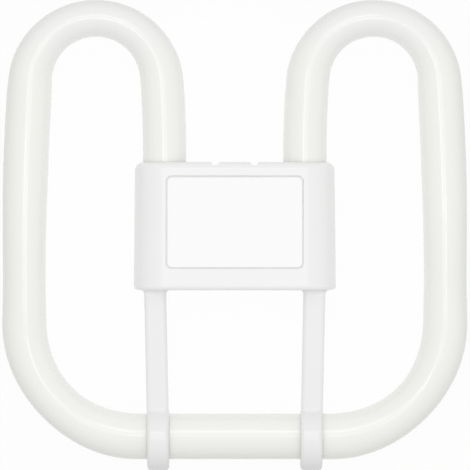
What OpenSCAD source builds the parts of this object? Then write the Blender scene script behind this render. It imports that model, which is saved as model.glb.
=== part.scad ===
// Square compact fluorescent lamp with a two-pin cap.
// It lies on the back rim of its cap with the label side up: X to the right, Y towards
// the two lobes of the tube, Z out of the front. The origin is the middle of the lamp
// on the plane of the rim.

/* [Glass tube] */
// Outside diameter of the glass tube
tube_d = 13.2; // [12:0.1:14]
// Height of the bent tube, from the top of the lobes to the underside of the bottom run
tube_h = 136.5; // [128:0.5:146]
// Middle plane to the centre line of an outer leg
outer_leg_x = 62.4; // [58:0.1:67]
// Middle plane to the centre line of an inner leg
inner_leg_x = 20.9; // [19.5:0.1:22.5]
// Bend radius of the two lower corners, on the centre line
corner_r = 33.4; // [26:0.2:36]
// Origin to the top of the lobes
lobe_top_y = 70; // [68:0.5:74]
// Room between the sealed tube ends and the lower wall of the cap, for the leads
lead_room = 5.35; // [5:0.05:7]
// Length of the flat pinch that seals a tube end
pinch_l = 9; // [8:0.5:10]
// Thickness of the pinch
pinch_t = 3.6; // [3:0.1:4.5]

/* [Cap shell] */
// Height of the cap in the picture plane
cap_h = 37.95; // [36:0.5:44]
// Origin to the upper edge of the cap
cap_top_y = 21.55; // [20:0.5:24]
// Gap between a tube leg and the shell round it, at the upper edge of the cap
shell_gap = 0.55; // [0.4:0.05:0.8]
// How much wider the shell's rounded sides are at the lower edge of the cap, for draft
shell_taper = 0.4; // [0.2:0.05:0.6]
// Edge rounding at the upper end of the shell
edge_r_top = 2.4; // [1.8:0.1:2.8]
// Edge rounding at the lower end of the shell
edge_r_bottom = 1.3; // [0.8:0.1:2]
// Wall of the two mouldings
wall = 1.6; // [1.3:0.1:1.7]
// Gap between the glass and the hole that it enters
tube_fit = 0.4; // [0.2:0.05:0.6]

/* [Label seat] */
// Side edge of the label seat to the centre line of the tube leg behind it
seat_margin_side = 0.5; // [0.2:0.1:4]
// Upper edge of the cap to the label seat
seat_margin_top = 4.05; // [3.5:0.05:6]
// Lower edge of the cap to the label seat
seat_margin_bottom = 6.3; // [3:0.1:8]
// Corner radius of the label seat
seat_r = 1.9; // [1:0.1:3]
// Depth of the label seat
seat_depth = 0.7; // [0.3:0.05:0.8]
// Width of the open groove left round the label
label_gap = 0.55; // [0.3:0.05:1]
// Thickness of the label panel
label_t = 0.5; // [0.2:0.05:0.6]

/* [Snap tab] */
// Middle plane to the middle of a notch beside the snap tab
notch_x = 5.8; // [5:0.1:7]
// Width of a notch at the outer face
notch_w = 2.5; // [1.6:0.1:3]
// Width of a notch at its foot
notch_foot_w = 1.3; // [0.8:0.1:1.6]
// Depth of a notch
notch_depth = 0.95; // [0.6:0.05:1.1]
// Thickness of the lip that the body pushes inside the cover
lip_t = 1; // [0.8:0.1:1.4]
// Height of the lip above the parting plane
lip_h = 3.4; // [3:0.1:4.5]
// Gap between the lip and the cover
lip_fit = 0.12; // [0.08:0.02:0.2]
// Width of a snap catch
catch_w = 6; // [4:0.5:8]
// Height of a snap catch
catch_h = 1.2; // [0.8:0.1:1.4]

/* [Arms] */
// Width of an arm
arm_w = 6.5; // [5:0.1:8]
// Depth of an arm, front to back
arm_depth = 4.4; // [3.4:0.1:5.4]
// Centre line of the inner leg to the middle of an arm where it leaves the cap
arm_root_out = 2.7; // [1:0.1:3.4]
// Centre line of the inner leg to the middle of the hook at the end of an arm
arm_tip_out = 1.8; // [0.6:0.1:3]
// Edge rounding of the front of an arm and of the outside of its hook
arm_edge_r = 1.2; // [0.3:0.1:1.3]
// Wall of the arm round the channel in its back
arm_wall = 1.4; // [1.1:0.1:1.8]
// Number of cross ribs in the channel of an arm
arm_ribs = 3; // [1:1:5]
// Fillet where an arm leaves the cap
arm_root_r = 1.2; // [0.6:0.1:2]
// Gap between the glass and the hook round it
hook_fit = 0.3; // [0.2:0.05:0.5]
// Thickness of the hook before it starts to swell
hook_t = 1.6; // [1.3:0.1:2.4]
// How much thicker the hook is where it turns under the glass
hook_swell = 1.6; // [0.4:0.1:2]
// Fillet between the front of an arm and its hook
hook_fillet_r = 2; // [1:0.1:3]
// How far the hook reaches round the back of the glass, past its middle plane
hook_wrap = 24; // [15:1:35]

/* [Contact tower] */
// Width of the tower on the back of the cap
tower_w = 34; // [30:0.5:38]
// Height of the tower in the picture plane
tower_l = 27; // [24:0.5:30]
// How far the tower stands out behind the shell
tower_h = 9.05; // [8.5:0.05:11]
// Corner radius of the tower
tower_r = 3; // [2:0.5:4]
// Wall of the tower at its two ends, to the left and right
tower_end_wall = 3; // [2.4:0.1:4]
// Wall of the tower along its two long sides
tower_side_wall = 4; // [3:0.1:5]
// Floor between the contact well and the inside of the cap
well_floor_t = 2.6; // [2:0.1:3.2]
// Corner radius of the contact well
well_r = 1.6; // [1:0.1:2]
// Width of the latch windows in the ends of the tower
latch_w = 8; // [5:0.5:10]
// Height of the latch windows
latch_h = 2.6; // [2:0.1:3.2]
// Rim of the tower to the latch windows
latch_z = 3; // [2.4:0.1:3.6]

/* [Contact pins] */
// Distance between the two contact pins
pin_pitch = 8; // [7:0.1:9]
// Diameter of a contact pin
pin_d = 2.35; // [2:0.05:2.6]
// How far the pins end short of the rim
pin_recess = 1.6; // [1:0.1:2.4]
// Diameter of the collar that holds a pin
collar_d = 3.8; // [3.2:0.1:4.4]
// Thickness of that collar
collar_t = 0.8; // [0.5:0.1:1.2]
// Height of the boss round each pin, above the floor of the shell
boss_h = 1.6; // [1:0.1:2.4]
// Diameter of that boss
boss_d = 5.4; // [4.6:0.1:6.4]
// Diameter of the shank that holds the pin in the floor of the well
shank_d = 2.8; // [2.7:0.1:3.2]
// How far the shank stands out of that floor
shank_out = 0.4; // [0.2:0.1:0.8]
// Bore in the shank that takes the lead
pin_bore_d = 1.3; // [1:0.1:1.5]

/* [Starting gear] */
// Diameter of the starter bottle
starter_d = 7.4; // [6:0.1:7.8]
// Length of the starter bottle with its pinch
starter_l = 19; // [16:0.5:20]
// Width of the capacitor
capacitor_w = 12; // [9:0.5:13]
// Height of the capacitor above the floor of the shell
capacitor_h = 7.5; // [6:0.1:8.5]
// Thickness of the capacitor
capacitor_t = 4.4; // [3:0.1:5]
// Diameter of a lead
lead_d = 0.7; // [0.5:0.05:0.9]
// Outside diameter of a lead sleeve
sleeve_d = 1.7; // [1.4:0.1:1.9]
// Length of a lead sleeve
sleeve_l = 7; // [5:0.5:8]

/* [Hidden] */
$fn = 96;

glass_color = [0.93, 0.94, 0.90];
plastic_color = [0.94, 0.94, 0.94];
label_color = [0.98, 0.98, 0.98];
brass_color = [0.83, 0.68, 0.38];
lead_color = [0.75, 0.76, 0.78];
sleeve_color = [0.86, 0.83, 0.72];
cement_color = [0.90, 0.88, 0.82];
capacitor_color = [0.72, 0.35, 0.16];

eps = 0.01;
far = 200;
// How far the drafted side line lies inside its roundings, so that it crosses them clearly
crossing = 0.005;

tube_r = tube_d / 2;
lobe_r = (outer_leg_x - inner_leg_x) / 2;
lobe_x = (outer_leg_x + inner_leg_x) / 2;
lobe_y = lobe_top_y - tube_r - lobe_r;
run_y = lobe_top_y - tube_h + tube_r;
corner_x = outer_leg_x - corner_r;
corner_y = run_y + corner_r;
pinch_edge_r = pinch_t / 2;
pinch_half_w = tube_r - 0.6;
lead_spread = 2.6;
exhaust_r = 1.4;
exhaust_l = 1.2;

cap_bottom_y = cap_top_y - cap_h;
cap_mid_y = (cap_top_y + cap_bottom_y) / 2;
pinch_end_y = cap_bottom_y + wall + lead_room;
tube_end_y = pinch_end_y + pinch_l;
shell_r_top = tube_r + shell_gap + wall;
shell_r_bottom = shell_r_top + shell_taper;
draft = atan(shell_taper / cap_h);
shell_k = shell_r_top * cos(draft) + cap_top_y * sin(draft);
parting_z = tower_h + shell_r_bottom;

seat_w = 2 * (inner_leg_x - seat_margin_side);
seat_h = cap_h - seat_margin_top - seat_margin_bottom;
seat_y = cap_top_y - seat_margin_top - seat_h / 2;

lip_y_top = cap_top_y - wall - lip_fit;
lip_y_bottom = cap_bottom_y + wall + lip_fit;
lip_side_gap = 3;
lip_half_w = inner_leg_x - tube_r - lip_side_gap;
catch_z = parting_z + 0.9;
catch_reach = 0.7;
window_slack = 0.25;

trough_gap = 0.6;
trough_t = 1.2;
trough_in_x = inner_leg_x - tube_r - trough_gap;
trough_inset = 4;
trough_end_y = tube_end_y + trough_inset;
saddle_t = 1.4;
saddle_fit = 0.1;
saddle_inset = 3;
saddle_ys = [trough_end_y + saddle_t, cap_top_y - wall - saddle_inset];
cement_fit = 0.5;

arm_root_x = inner_leg_x + arm_root_out;
arm_tip_x = inner_leg_x + arm_tip_out;
arm_slant = atan((arm_root_x - arm_tip_x) / (cap_bottom_y - run_y));
hook_in_r = tube_r + hook_fit;
hook_out_r = hook_in_r + hook_t + hook_swell / 2;
hook_mid_y = run_y - hook_swell / 2;
arm_rim_r = 0.4;

tower_y = cap_mid_y;
well_w = tower_w - 2 * tower_end_wall;
well_l = tower_l - 2 * tower_side_wall;
well_depth = cavity_z(tower_y) - well_floor_t;
gusset_t = 1.4;
gusset_l = 3.4;
key_w = 2.4;
key_t = 1.2;
key_inset = 5;
key_x = well_w / 2 - key_inset;
key_z = 1.2;

pin_r = pin_d / 2;
pin_tip_r = 0.5;
bore_floor = 0.6;
boss_top_z = cavity_z(tower_y) + boss_h;
pin_top_z = boss_top_z + collar_t;

starter_r = starter_d / 2;
starter_gap = 1.2;
starter_lift = 0.8;
starter_inset = 2.4;
starter_y = cap_top_y - wall - lip_fit - lip_t - starter_r - starter_gap;
starter_z = cavity_z(starter_y) + starter_r + starter_lift;
starter_x0 = -trough_in_x + trough_t + starter_inset;
starter_pinch_l = 4;
starter_x1 = starter_x0 + starter_l;
starter_lead_gap = 1.3;
cradle_t = 1.2;

capacitor_gap = 2.2;
capacitor_lift = 0.3;
capacitor_leg_inset = 3;
capacitor_leg_d = 0.6;
capacitor_y = cap_bottom_y + wall + lip_fit + lip_t + capacitor_t / 2 + capacitor_gap;
capacitor_z = cavity_z(capacitor_y) + capacitor_lift;
capacitor_leg_x = capacitor_w / 2 - capacitor_leg_inset;

return_gap = 0.9;
riser_lift = 2.4;
riser_run = 2;
riser_top_run = 4;
riser_x = trough_in_x - trough_t - sleeve_d;
riser_z = parting_z + riser_lift;
riser_top_y = tower_y + riser_top_run;
return_y = cap_bottom_y + wall + lip_fit + lip_t + return_gap;
riser_y = return_y + riser_run;
sleeve_y = (riser_y + riser_top_y) / 2;

lead_stub = 1.8;
lead_loop = 3.4;
return_run = 3;
starter_lead_turn = 1.6;
pin_lead_pass = 1.5;
pin_lead_dip = 1.2;
pin_lead_reach = 2.5;
pin_lead_run = 4;
pin_lead_rise = 2.2;
pin_lead_depth = 3;

// Height of the shell's side line at a place y along its height, inset by a wall
function side_r(y, inset = 0) = (shell_k - inset - y * sin(draft)) / cos(draft);
// Height of the shell's inner floor at y
function cavity_z(y) = parting_z - side_r(y, wall);
// Height of the cap's front face at y
function face_z(y) = parting_z + side_r(y);

// Path smoothing: every corner of a lead is a quarter of the way rounded off
function round_path(p) = [
    p[0],
    for (i = [1 : len(p) - 2]) each [
        p[i] + (p[i - 1] - p[i]) * 0.25,
        p[i] + ((p[i - 1] - p[i]) + (p[i + 1] - p[i])) * 0.07,
        p[i] + (p[i + 1] - p[i]) * 0.25
    ],
    p[len(p) - 1]
];
function unit(v) = v / norm(v);
function path_dir(p, i) =
    unit(p[min(i + 1, len(p) - 1)] - p[max(i - 1, 0)]);

// A lead of diameter d swept along points p: a ring of points at each point of the path,
// square to the path there, and flat ends
module lead(p, d) {
    sides = 8;
    ref = [0.05, 0.31, 0.95];
    rings = [
        for (i = [0 : len(p) - 1])
            let (t = path_dir(p, i), u = unit(cross(ref, t)), v = cross(t, u))
            for (k = [0 : sides - 1])
                p[i] + (u * cos(k * 360 / sides) + v * sin(k * 360 / sides)) * d / 2
    ];
    last = (len(p) - 1) * sides;
    faces = [
        [for (k = [0 : sides - 1]) k],
        for (i = [0 : len(p) - 2]) for (k = [0 : sides - 1])
            let (a = i * sides + k, b = i * sides + (k + 1) % sides)
            [a, a + sides, b + sides, b],
        [for (k = [sides - 1 : -1 : 0]) last + k]
    ];
    polyhedron(rings, faces, convexity = 6);
}

module mirrored(side) {
    if (side > 0) children();
    else mirror([1, 0, 0]) children();
}

module rounded_rect(w, h, r) {
    square([w - 2 * r, h], center = true);
    square([w, h - 2 * r], center = true);
    for (x = [-1, 1], y = [-1, 1])
        translate([x * (w / 2 - r), y * (h / 2 - r)]) circle(r);
}

module rod_y(r, y0, y1) {
    translate([0, y0, 0]) rotate([-90, 0, 0]) cylinder(r = r, h = y1 - y0);
}

module rod_x(r, x0, x1) {
    translate([x0, 0, 0]) rotate([0, 90, 0]) cylinder(r = r, h = x1 - x0);
}

module box(lo, hi) {
    translate(lo) cube(hi - lo);
}

// Half of the cap's section: a drafted side line with a rounding at each end
module half_profile(inset) {
    y_top = cap_top_y - inset;
    y_bottom = cap_bottom_y + inset;
    c_top = max(edge_r_top - inset, 0.4);
    c_bottom = max(edge_r_bottom - inset, 0.4);
    x_top = side_r(y_top - c_top, inset + c_top);
    x_bottom = side_r(y_bottom + c_bottom, inset + c_bottom);
    top_reach = c_top - crossing;
    bottom_reach = c_bottom - crossing;
    polygon([
        [0, y_top],
        [x_top, y_top],
        [x_top + top_reach * cos(draft), y_top - c_top + top_reach * sin(draft)],
        [x_bottom + bottom_reach * cos(draft), y_bottom + c_bottom + bottom_reach * sin(draft)],
        [x_bottom, y_bottom],
        [0, y_bottom]
    ]);
    translate([x_top, y_top - c_top]) circle(c_top);
    translate([x_bottom, y_bottom + c_bottom]) circle(c_bottom);
}

// The cap as a solid: the outer half of a drafted barrel round each tube end and a slab
// between them
module cap_form(inset = 0) {
    for (side = [-1, 1])
        translate([side * inner_leg_x, 0, parting_z]) rotate([-90, 0, 0])
            rotate([0, 0, -90 * side]) rotate_extrude(angle = 180) half_profile(inset);
    translate([-inner_leg_x, 0, parting_z]) rotate([0, 90, 0])
        linear_extrude(2 * inner_leg_x) {
            half_profile(inset);
            mirror([1, 0]) half_profile(inset);
        }
}

module front_half() {
    intersection() {
        children();
        box([-far, -far, parting_z], [far, far, far]);
    }
}

module back_half() {
    intersection() {
        children();
        box([-far, -far, -far], [far, far, parting_z]);
    }
}

module tube_holes() {
    for (side = [-1, 1])
        translate([side * inner_leg_x, 0, parting_z])
            rod_y(tube_r + tube_fit, cap_top_y - wall - edge_r_top, cap_top_y + 1);
}

// Places a child on the front face at the middle of the label seat, tilted with the draft
module on_face() {
    translate([0, seat_y, face_z(seat_y)]) rotate([-draft, 0, 0]) children();
}

// Glass tube
module tube_bend(x, y, r, a0, angle) {
    translate([x, y, parting_z]) rotate([0, 0, a0])
        rotate_extrude(angle = angle) translate([r, 0]) circle(tube_r);
}

module tube_end() {
    translate([inner_leg_x, 0, parting_z]) {
        rod_y(tube_r, tube_end_y, lobe_y);
        translate([0, tube_end_y, 0]) sphere(tube_r);
        for (s = [-1, 1])
            translate([s * (pinch_half_w - pinch_edge_r), 0, 0])
                rod_y(pinch_edge_r, pinch_end_y, tube_end_y);
        box([pinch_edge_r - pinch_half_w, pinch_end_y, -pinch_edge_r],
            [pinch_half_w - pinch_edge_r, tube_end_y, pinch_edge_r]);
    }
}

module exhaust_tip() {
    translate([-inner_leg_x, pinch_end_y, parting_z]) {
        rod_y(exhaust_r, -exhaust_l, exhaust_l);
        translate([0, -exhaust_l, 0]) sphere(exhaust_r);
    }
}

module discharge_tube() {
    color(glass_color) {
        for (side = [-1, 1]) mirrored(side) {
            tube_end();
            tube_bend(lobe_x, lobe_y, lobe_r, 0, 180);
            translate([outer_leg_x, 0, parting_z]) rod_y(tube_r, corner_y, lobe_y);
            tube_bend(corner_x, corner_y, corner_r, 270, 90);
        }
        translate([0, run_y, parting_z]) rod_x(tube_r, -corner_x, corner_x);
        exhaust_tip();
    }
}

// Front moulding
module label_seat() {
    on_face() translate([0, 0, -seat_depth])
        linear_extrude(seat_depth + 1) rounded_rect(seat_w, seat_h, seat_r);
}

module notches() {
    for (side = [-1, 1])
        translate([side * notch_x, cap_top_y, 0]) linear_extrude(far)
            polygon([
                [-notch_w / 2, 1], [-notch_w / 2, 0],
                [-notch_foot_w / 2, -notch_depth], [notch_foot_w / 2, -notch_depth],
                [notch_w / 2, 0], [notch_w / 2, 1]
            ]);
}

// A wedge on the inside of the cover that springs into the window of the lip
module catch(y, inward) {
    translate([-catch_w / 2, y, catch_z]) rotate([90, 0, 90])
        linear_extrude(catch_w) polygon([
            [-inward * 0.3, 0], [inward * 0.1, 0], [inward * catch_reach, catch_h * 0.7],
            [inward * catch_reach, catch_h], [-inward * 0.3, catch_h]
        ]);
}

// Rounded at the front, nearly square at the rim of the channel
module arm_section() {
    rounded_rect(arm_w, arm_depth, arm_edge_r);
    translate([0, -arm_depth / 4]) rounded_rect(arm_w, arm_depth / 2, arm_rim_r);
}

module arm_bar() {
    bar_l = cap_bottom_y - run_y;
    channel_w = arm_w - 2 * arm_wall;
    translate([arm_root_x, cap_bottom_y, parting_z]) rotate([0, 0, -arm_slant])
        difference() {
            translate([0, wall / 2, arm_depth / 2]) rotate([90, 0, 0])
                linear_extrude(bar_l) arm_section();
            difference() {
                box([-channel_w / 2, hook_out_r - bar_l, -1],
                    [channel_w / 2, -arm_wall, arm_depth - arm_wall]);
                for (i = [1 : arm_ribs])
                    translate([0, -i * (bar_l - hook_out_r) / (arm_ribs + 1), 0])
                        cube([arm_w, arm_wall * 0.7, far], center = true);
            }
        }
}

module arm_root_fillets() {
    translate([arm_root_x, cap_bottom_y, parting_z + arm_edge_r])
        linear_extrude(arm_depth - 2 * arm_edge_r) difference() {
            translate([-arm_w / 2 - arm_root_r, -arm_root_r])
                square([arm_w + 2 * arm_root_r, arm_root_r + wall / 2]);
            for (s = [-1, 1])
                translate([s * (arm_w / 2 + arm_root_r), -arm_root_r]) circle(arm_root_r);
        }
}

// The hook goes over the front of the glass and under it. Its outside is a turn about a line
// that lies below the middle of the glass, so that it swells towards its end.
module hook_ring() {
    ring_w = hook_out_r - hook_in_r + hook_swell;
    translate([arm_tip_x, hook_mid_y, parting_z]) rotate([0, 90, 0]) rotate([0, 0, 90])
        rotate_extrude(angle = 180 + hook_wrap)
            translate([hook_out_r - ring_w / 2, 0]) rounded_rect(ring_w, arm_w, arm_edge_r);
}

// The fillet's circle touches the arm's front plane and the outside of the hook
module hook_fillet() {
    up_z = arm_depth + hook_fillet_r;
    up_y = sqrt(pow(hook_out_r + hook_fillet_r, 2) - up_z * up_z);
    k = hook_out_r / (hook_out_r + hook_fillet_r);
    translate([arm_tip_x - arm_w / 2 + arm_edge_r, hook_mid_y, parting_z]) rotate([90, 0, 90])
        linear_extrude(arm_w - 2 * arm_edge_r) difference() {
            polygon([[up_y, arm_depth], [up_y * k, up_z * k], [up_y * k - 1, up_z * k - 1],
                     [up_y * k - 1, arm_depth - 1], [up_y, arm_depth - 1]]);
            translate([up_y, up_z]) circle(hook_fillet_r);
        }
}

module arm() {
    difference() {
        union() {
            arm_bar();
            arm_root_fillets();
            hook_ring();
            hook_fillet();
        }
        translate([0, run_y, parting_z]) rod_x(hook_in_r, -far, far);
    }
}

module cap_cover() {
    color(plastic_color) {
        difference() {
            front_half() cap_form();
            cap_form(wall);
            tube_holes();
            label_seat();
            notches();
        }
        catch(cap_top_y - wall, -1);
        catch(cap_bottom_y + wall, 1);
        for (side = [-1, 1]) mirrored(side) arm();
    }
}

module label_panel() {
    color(label_color)
        on_face() translate([0, 0, -seat_depth]) linear_extrude(label_t)
            rounded_rect(seat_w - 2 * label_gap, seat_h - 2 * label_gap, seat_r - label_gap);
}

// Back moulding
module tower() {
    translate([0, tower_y, 0])
        linear_extrude(cavity_z(tower_y)) rounded_rect(tower_w, tower_l, tower_r);
    for (side = [-1, 1], y = [-1, 1])
        translate([side * tower_w / 2, tower_y + y * tower_l / 4, parting_z - side_r(tower_y)])
            rotate([90, 0, 0]) linear_extrude(gusset_t, center = true)
                polygon([[-side, -gusset_l], [-side, 1], [side * gusset_l, 1], [side * gusset_l, 0],
                         [0, -gusset_l]]);
}

module well() {
    translate([0, tower_y, 0]) {
        difference() {
            translate([0, 0, -1]) linear_extrude(well_depth + 1) rounded_rect(well_w, well_l, well_r);
            for (side = [-1, 1])
                box([side * key_x - key_w / 2, well_l / 2 - key_t, key_z],
                    [side * key_x + key_w / 2, far, far]);
        }
        box([-far, -latch_w / 2, latch_z], [far, latch_w / 2, latch_z + latch_h]);
    }
}

module pin_bosses() {
    for (side = [-1, 1])
        translate([side * pin_pitch / 2, tower_y, well_depth])
            cylinder(d = boss_d, h = boss_top_z - well_depth);
}

module pin_holes() {
    for (side = [-1, 1])
        translate([side * pin_pitch / 2, tower_y, 0]) cylinder(d = shank_d, h = parting_z);
}

module lips() {
    z0 = cavity_z(cap_bottom_y) - wall / 2;
    z1 = parting_z + lip_h;
    box([-lip_half_w, lip_y_top - lip_t, z0], [lip_half_w, lip_y_top, z1]);
    box([-lip_half_w, lip_y_bottom, z0], [lip_half_w, lip_y_bottom + lip_t, z1]);
    box([-lip_half_w, lip_y_top - lip_t, z0], [lip_half_w, cap_top_y - wall / 2, parting_z - 0.6]);
    box([-lip_half_w, cap_bottom_y + wall / 2, z0], [lip_half_w, lip_y_bottom + lip_t, parting_z - 0.6]);
}

module lip_windows() {
    box([-catch_w / 2 - window_slack, -far, catch_z - window_slack],
        [catch_w / 2 + window_slack, far, catch_z + catch_h + window_slack]);
}

module troughs() {
    z0 = cavity_z(cap_bottom_y) - wall / 2;
    for (side = [-1, 1]) mirrored(side) {
        box([trough_in_x - trough_t, trough_end_y, z0], [trough_in_x, cap_top_y - wall / 2, parting_z]);
        difference() {
            for (y = saddle_ys)
                box([trough_in_x - trough_t, y, z0],
                    [inner_leg_x + tube_r, y + saddle_t, parting_z - tube_r / 2]);
            translate([inner_leg_x, 0, parting_z]) rod_y(tube_r + saddle_fit, -far, far);
            difference() {
                box([inner_leg_x, -far, -far], [far, far, far]);
                cap_form(wall / 2);
            }
        }
    }
}

module starter_cradle() {
    z0 = cavity_z(cap_bottom_y) - wall / 2;
    body_l = starter_l - starter_pinch_l;
    difference() {
        for (t = [0.25, 0.75])
            translate([starter_x0 + t * body_l - cradle_t / 2, starter_y - starter_r, z0])
                cube([cradle_t, starter_d, starter_z - starter_r * 0.4 - z0]);
        translate([0, starter_y, starter_z]) rod_x(starter_r + saddle_fit, -far, far);
    }
}

module cap_body() {
    color(plastic_color) difference() {
        union() {
            difference() {
                back_half() cap_form();
                cap_form(wall);
            }
            tower();
            pin_bosses();
            intersection() {
                cap_form(wall / 2);
                union() {
                    difference() {
                        lips();
                        intersection() {
                            lip_windows();
                            box([-far, -far, parting_z - 0.6], [far, far, far]);
                        }
                    }
                    troughs();
                    starter_cradle();
                }
            }
        }
        well();
        pin_holes();
        tube_holes();
        notches();
    }
}

// Contacts and starting gear
module contact_pin(side) {
    shank_z = well_depth - shank_out;
    color(brass_color) translate([side * pin_pitch / 2, tower_y, 0])
        rotate_extrude() difference() {
            union() {
                translate([0, pin_recess + pin_tip_r]) square([pin_r, shank_z - pin_recess]);
                translate([0, shank_z]) square([shank_d / 2, boss_top_z - shank_z + collar_t / 2]);
                translate([0, pin_recess]) square([pin_r - pin_tip_r, pin_tip_r + eps]);
                translate([pin_r - pin_tip_r, pin_recess + pin_tip_r]) circle(pin_tip_r);
                translate([0, boss_top_z]) square([collar_d / 2, collar_t]);
            }
            translate([0, well_depth + bore_floor]) square([pin_bore_d / 2, far]);
            translate([-far, -far]) square([far, 2 * far]);
        }
}

module starter_bottle() {
    body_end = starter_x1 - starter_pinch_l;
    color(glass_color) translate([0, starter_y, starter_z]) {
        rod_x(starter_r, starter_x0 + starter_r, body_end - starter_r);
        translate([starter_x0 + starter_r, 0, 0]) sphere(starter_r);
        translate([body_end - starter_r, 0, 0]) sphere(starter_r);
        box([body_end - starter_r, -starter_r * 0.7, -1.1], [starter_x1, starter_r * 0.7, 1.1]);
    }
}

module capacitor() {
    legs_z = capacitor_z + capacitor_h;
    leg_root = 0.5;
    leg_rise = 1.6;
    leg_reach = 2.4;
    joint_gap = 0.1;
    color(capacitor_color) {
        translate([0, capacitor_y, capacitor_z]) linear_extrude(capacitor_h)
            rounded_rect(capacitor_w, capacitor_t, capacitor_t / 2 - 0.4);
        for (side = [-1, 1])
            lead(round_path([
                [side * capacitor_leg_x, capacitor_y, legs_z - leg_root],
                [side * capacitor_leg_x, capacitor_y, legs_z + leg_rise],
                [side * (riser_x - riser_run), capacitor_y + leg_reach * 0.4, riser_z],
                [side * (riser_x - lead_d / 2 - joint_gap), capacitor_y + leg_reach, riser_z]
            ]), capacitor_leg_d);
    }
}

module pin_lead(side) {
    x0 = inner_leg_x - lead_spread;
    over_z = pin_top_z + pin_lead_rise;
    color(lead_color) lead(round_path([
        [side * x0, pinch_end_y, parting_z],
        [side * x0, pinch_end_y - lead_stub, parting_z],
        [side * (riser_x + pin_lead_pass), pinch_end_y - lead_stub / 2, parting_z - pin_lead_dip],
        [side * (pin_pitch / 2 + pin_lead_reach), tower_y - pin_lead_run, over_z],
        [side * pin_pitch / 2, tower_y, over_z],
        [side * pin_pitch / 2, tower_y, pin_top_z - pin_lead_depth]
    ]), lead_d);
}

function starter_lead_start(side) = [
    [side * (inner_leg_x + lead_spread), pinch_end_y, parting_z],
    [side * (inner_leg_x + lead_spread), pinch_end_y - lead_stub, parting_z],
    [side * inner_leg_x, pinch_end_y - lead_loop, parting_z + riser_lift],
    [side * (riser_x + return_run), return_y, riser_z],
    [side * riser_x, riser_y, riser_z]
];

function starter_lead_right_path() = concat(starter_lead_start(1), [
    [riser_x, starter_y - starter_r - starter_lead_turn, riser_z],
    [starter_x1 + starter_lead_turn, starter_y - starter_lead_gap, starter_z],
    [starter_x1, starter_y - starter_lead_gap, starter_z]
]);

function starter_lead_left_path() = concat(starter_lead_start(-1), [
    [-riser_x, riser_top_y, riser_z],
    [riser_x - return_run, starter_y - return_run, starter_z + starter_r + riser_run],
    [starter_x1 + starter_lead_turn, starter_y + starter_lead_gap, starter_z + return_run],
    [starter_x1 + starter_lead_turn - 0.2, starter_y + starter_lead_gap, starter_z],
    [starter_x1, starter_y + starter_lead_gap, starter_z]
]);

module starter_lead(side) {
    color(lead_color)
        lead(round_path(side > 0 ? starter_lead_right_path() : starter_lead_left_path()), lead_d);
}

// A woven sleeve over the straight rise of a starter lead
module lead_sleeve(side) {
    y0 = sleeve_y - sleeve_l / 2;
    color(sleeve_color) translate([side * riser_x, 0, riser_z]) difference() {
        rod_y(sleeve_d / 2, y0, y0 + sleeve_l);
        rod_y(lead_d / 2 + 0.1, y0 - 1, y0 + sleeve_l + 1);
    }
}

module tube_cement(side) {
    color(cement_color) mirrored(side) difference() {
        intersection() {
            cap_form(wall);
            box([trough_in_x, saddle_ys[0] + saddle_t, -far],
                [inner_leg_x - cement_fit, saddle_ys[1], parting_z - 1]);
        }
        translate([inner_leg_x, 0, parting_z]) rod_y(tube_r, -far, far);
    }
}

discharge_tube();
cap_body();
cap_cover();
label_panel();
contact_pin(-1);  // contact_pin_left
contact_pin(1);  // contact_pin_right
starter_bottle();
capacitor();
pin_lead(-1);  // pin_lead_left
pin_lead(1);  // pin_lead_right
starter_lead(-1);  // starter_lead_left
starter_lead(1);  // starter_lead_right
lead_sleeve(-1);  // lead_sleeve_left
lead_sleeve(1);  // lead_sleeve_right
tube_cement(-1);  // tube_cement_left
tube_cement(1);  // tube_cement_right
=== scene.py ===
"""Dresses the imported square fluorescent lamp: bent tube, moulded cap, label, contacts and studio."""
import logging
import math
from dataclasses import dataclass
from enum import Enum
from typing import Any, Sequence

import bpy
import numpy as np
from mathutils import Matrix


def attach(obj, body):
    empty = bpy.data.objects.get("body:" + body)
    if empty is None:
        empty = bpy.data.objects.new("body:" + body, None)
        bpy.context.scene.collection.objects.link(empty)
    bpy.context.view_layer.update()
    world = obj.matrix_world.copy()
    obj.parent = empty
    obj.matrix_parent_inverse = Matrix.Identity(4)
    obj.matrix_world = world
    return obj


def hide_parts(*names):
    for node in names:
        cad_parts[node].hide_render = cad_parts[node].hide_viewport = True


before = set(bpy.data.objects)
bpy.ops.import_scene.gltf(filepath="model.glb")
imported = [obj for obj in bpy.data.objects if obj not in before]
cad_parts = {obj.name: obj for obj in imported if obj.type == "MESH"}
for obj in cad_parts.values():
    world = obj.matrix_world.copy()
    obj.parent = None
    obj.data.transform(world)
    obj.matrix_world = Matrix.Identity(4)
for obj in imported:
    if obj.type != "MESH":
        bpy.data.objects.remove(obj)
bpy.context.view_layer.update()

MM = 0.001
log = logging.getLogger("lamp")


class Node(str, Enum):
    """The shader nodes that the finishes use."""

    BSDF = "ShaderNodeBsdfPrincipled"
    OUTPUT = "ShaderNodeOutputMaterial"
    COORDS = "ShaderNodeTexCoord"
    MAPPING = "ShaderNodeMapping"
    NOISE = "ShaderNodeTexNoise"
    VORONOI = "ShaderNodeTexVoronoi"
    ATTRIBUTE = "ShaderNodeAttribute"
    BUMP = "ShaderNodeBump"
    MIX = "ShaderNodeMix"
    SPLIT = "ShaderNodeSeparateXYZ"
    MATH = "ShaderNodeMath"
    EMISSION = "ShaderNodeEmission"
    DIFFUSE = "ShaderNodeBsdfDiffuse"
    MIX_SHADER = "ShaderNodeMixShader"
    LIGHT_PATH = "ShaderNodeLightPath"
    BACKGROUND = "ShaderNodeBackground"
    WORLD_OUTPUT = "ShaderNodeOutputWorld"


Colour = tuple[float, float, float]
Factors = tuple[float, float, float]
Profile = tuple[tuple[float, float], ...]
WHITE = (1.0, 1.0, 1.0, 1.0)


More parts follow.
